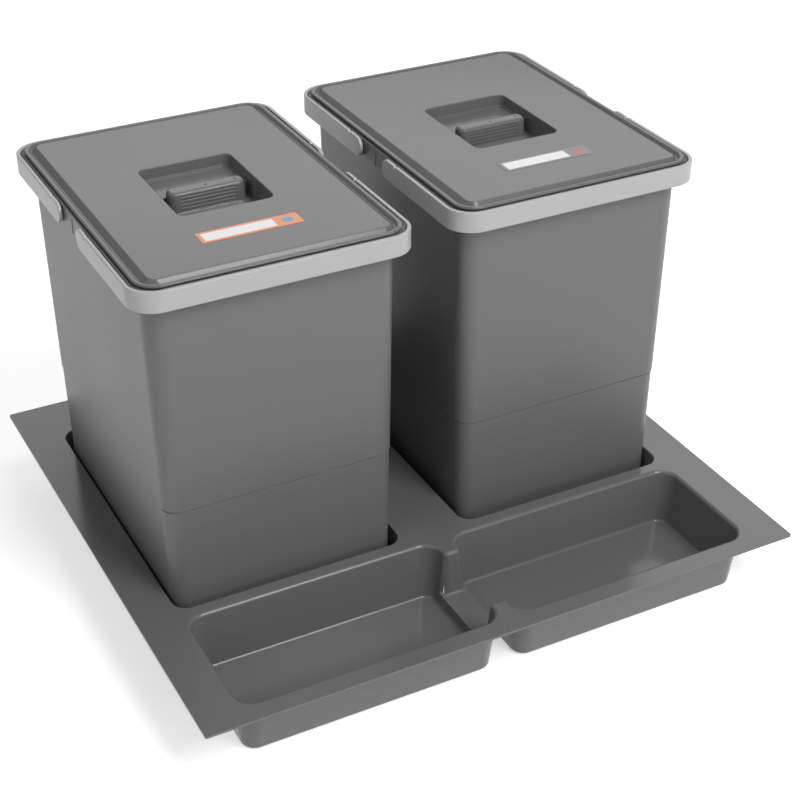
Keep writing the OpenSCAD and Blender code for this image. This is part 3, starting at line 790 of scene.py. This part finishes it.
def pale_floor():
    bm = bmesh.new()
    bmesh.ops.create_grid(bm, x_segments=1, y_segments=1, size=FLOOR_HALF)
    mesh = bpy.data.meshes.new("floor")
    bm.to_mesh(mesh)
    bm.free()
    ground = bpy.data.objects.new("floor", mesh)
    bpy.context.scene.collection.objects.link(ground)
    material = bpy.data.materials.new("pale_floor")
    material.use_nodes = True
    tree = material.node_tree
    shader = tree.nodes["Principled BSDF"]
    shader.inputs["Base Color"].default_value = (FLOOR_PALE, FLOOR_PALE, FLOOR_PALE, 1)
    shader.inputs["Roughness"].default_value = FLOOR_ROUGH
    shader.inputs["Emission Color"].default_value = (1, 1, 1, 1)
    glow = tree.nodes.new("ShaderNodeMath")
    glow.operation = "MULTIPLY"
    glow.inputs[1].default_value = FLOOR_GLOW
    tree.links.new(seen_directly(tree), glow.inputs[0])
    tree.links.new(glow.outputs["Value"], shader.inputs["Emission Strength"])
    mesh.materials.append(material)
    print("floor:", 2 * FLOOR_HALF, "m wide")


pale_floor()

# %% [markdown]
# The lamps hang on a dome round the object. A strong, rather small box in front models the upright
# walls and draws the bright lines along soft edges. A wide, dim one low in front lights the tray's
# apron, and is dim so that the lids don't mirror it as a white patch from behind. A wide box behind
# on the right and one overhead are what the flat tops and the slopes mirror, so their brightness
# sets how the lids read.

# %% Lamps
DOME = 2.2
AIM = Vector((0, 0, 0.2))
LAMPS = [  # name, turn, rise, width, height, brightness
    ("front_box", -74, 46, 0.8, 1.0, 10.5),
    ("low_front_box", -70, 11, 1.9, 0.95, 1.42),
    ("left_box", -160, 32, 0.9, 0.8, 2),
    ("overhead_box", 18, 75, 0.9, 0.9, 2.6),
    ("back_box", 62, 31, 2.3, 0.8, 1.35),
]


def soft_box(name, turn, rise, width, height, brightness):
    """A light box on the dome. It stands at `turn` degrees from +X and `rise` above the floor."""
    turn, rise = math.radians(turn), math.radians(rise)
    away = Vector((math.cos(turn) * math.cos(rise), math.sin(turn) * math.cos(rise), math.sin(rise)))
    data = bpy.data.lights.new(name, "AREA")
    data.shape = "RECTANGLE"
    data.size, data.size_y = width, height
    data.energy = brightness * math.pi * width * height
    lamp = bpy.data.objects.new(name, data)
    lamp.location = AIM + DOME * away
    lamp.rotation_euler = (-away).to_track_quat("-Z", "Y").to_euler()
    bpy.context.scene.collection.objects.link(lamp)
    print(f"{name}: {data.energy:.2f} W")


for lamp in LAMPS:
    soft_box(*lamp)

# %% [markdown]
# The world is white where the lens looks, and where a reflection reaches the backdrop near the
# floor. Higher up a reflection finds the dim studio. Only a little of its light falls on the
# object.

# %% World
WORLD_SEEN, WORLD_LIGHT, BACKDROP_TOP = 1.0, 0.25, 0.03


def studio_world():
    world = bpy.data.worlds.new("studio")
    bpy.context.scene.world = world
    world.use_nodes = True
    tree = world.node_tree
    place = tree.nodes.new("ShaderNodeTexCoord")
    split = tree.nodes.new("ShaderNodeSeparateXYZ")
    tree.links.new(place.outputs["Generated"], split.inputs["Vector"])
    backdrop = tree.nodes.new("ShaderNodeMapRange")
    backdrop.inputs["From Max"].default_value = BACKDROP_TOP
    backdrop.inputs["To Min"].default_value = WORLD_SEEN
    backdrop.inputs["To Max"].default_value = WORLD_LIGHT
    tree.links.new(split.outputs["Z"], backdrop.inputs["Value"])
    mirrored = tree.nodes.new("ShaderNodeMapRange")
    mirrored.inputs["To Min"].default_value = WORLD_LIGHT
    tree.links.new(seen_directly(tree), mirrored.inputs["Value"])
    tree.links.new(backdrop.outputs["Result"], mirrored.inputs["To Max"])
    path = tree.nodes.new("ShaderNodeLightPath")
    white = tree.nodes.new("ShaderNodeMath")
    white.operation = "MAXIMUM"
    tree.links.new(path.outputs["Is Camera Ray"], white.inputs[0])
    tree.links.new(mirrored.outputs["Result"], white.inputs[1])
    sky = tree.nodes["Background"]
    sky.inputs["Color"].default_value = (1, 1, 1, 1)
    tree.links.new(white.outputs["Value"], sky.inputs["Strength"])


studio_world()
bpy.context.scene.view_settings.view_transform = "Standard"
print("world light:", WORLD_LIGHT)
